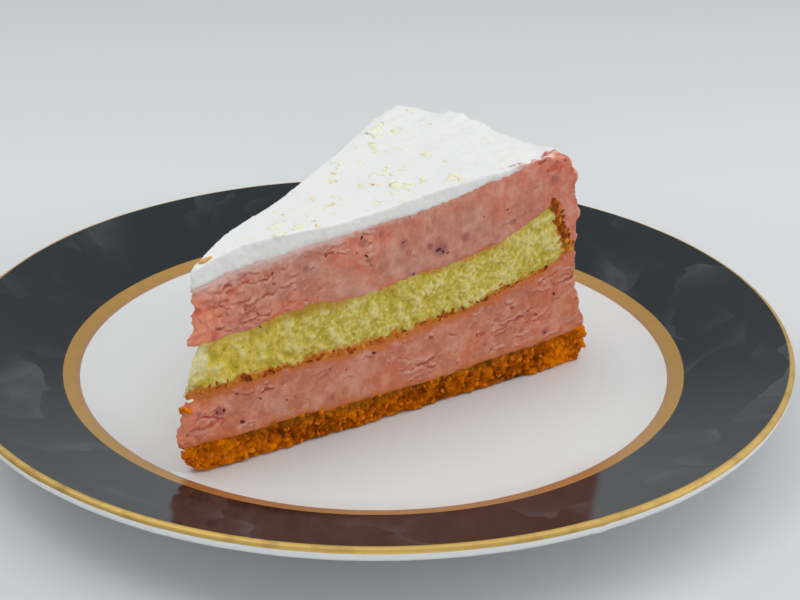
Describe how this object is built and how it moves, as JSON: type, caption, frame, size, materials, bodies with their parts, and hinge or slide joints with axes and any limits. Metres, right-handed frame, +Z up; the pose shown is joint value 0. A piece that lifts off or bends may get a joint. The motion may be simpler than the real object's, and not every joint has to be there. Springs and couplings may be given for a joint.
{
  "type": "slice of strawberry shortcake",
  "caption": "Wedge of layered strawberry cream cake lying as served on its round dessert plate: crumb base, pink mousse, yellow sponge, pink mousse, white cream top.",
  "frame": {"origin": "centre of the plate, on the plane its foot ring stands on", "axes": "+Z up; the slice's long cut face looks towards -Y and its tip points to -X and -Y"},
  "size_m": [0.209, 0.209, 0.065],
  "materials": {
    "plate_glaze": "glossy white glaze in the well and underneath, glossy dark grey marbled rim, metallic gold band and lip line",
    "biscuit_crumb": "rough pressed crumbs, slightly oily orange brown",
    "strawberry_mousse": "soft satin dusky pink cream with small tears and dark fruit specks",
    "yellow_sponge": "matte open crumb, pale yellow with a browned skin",
    "white_cream": "soft satin white cream with a few pale crumbs"
  },
  "bodies": {
    "root": {"plate": "plate_glaze", "crumb_base": "biscuit_crumb", "lower_mousse": "strawberry_mousse", "sponge": "yellow_sponge", "upper_mousse": "strawberry_mousse", "cream_top": "white_cream"}
  },
  "joints": []
}
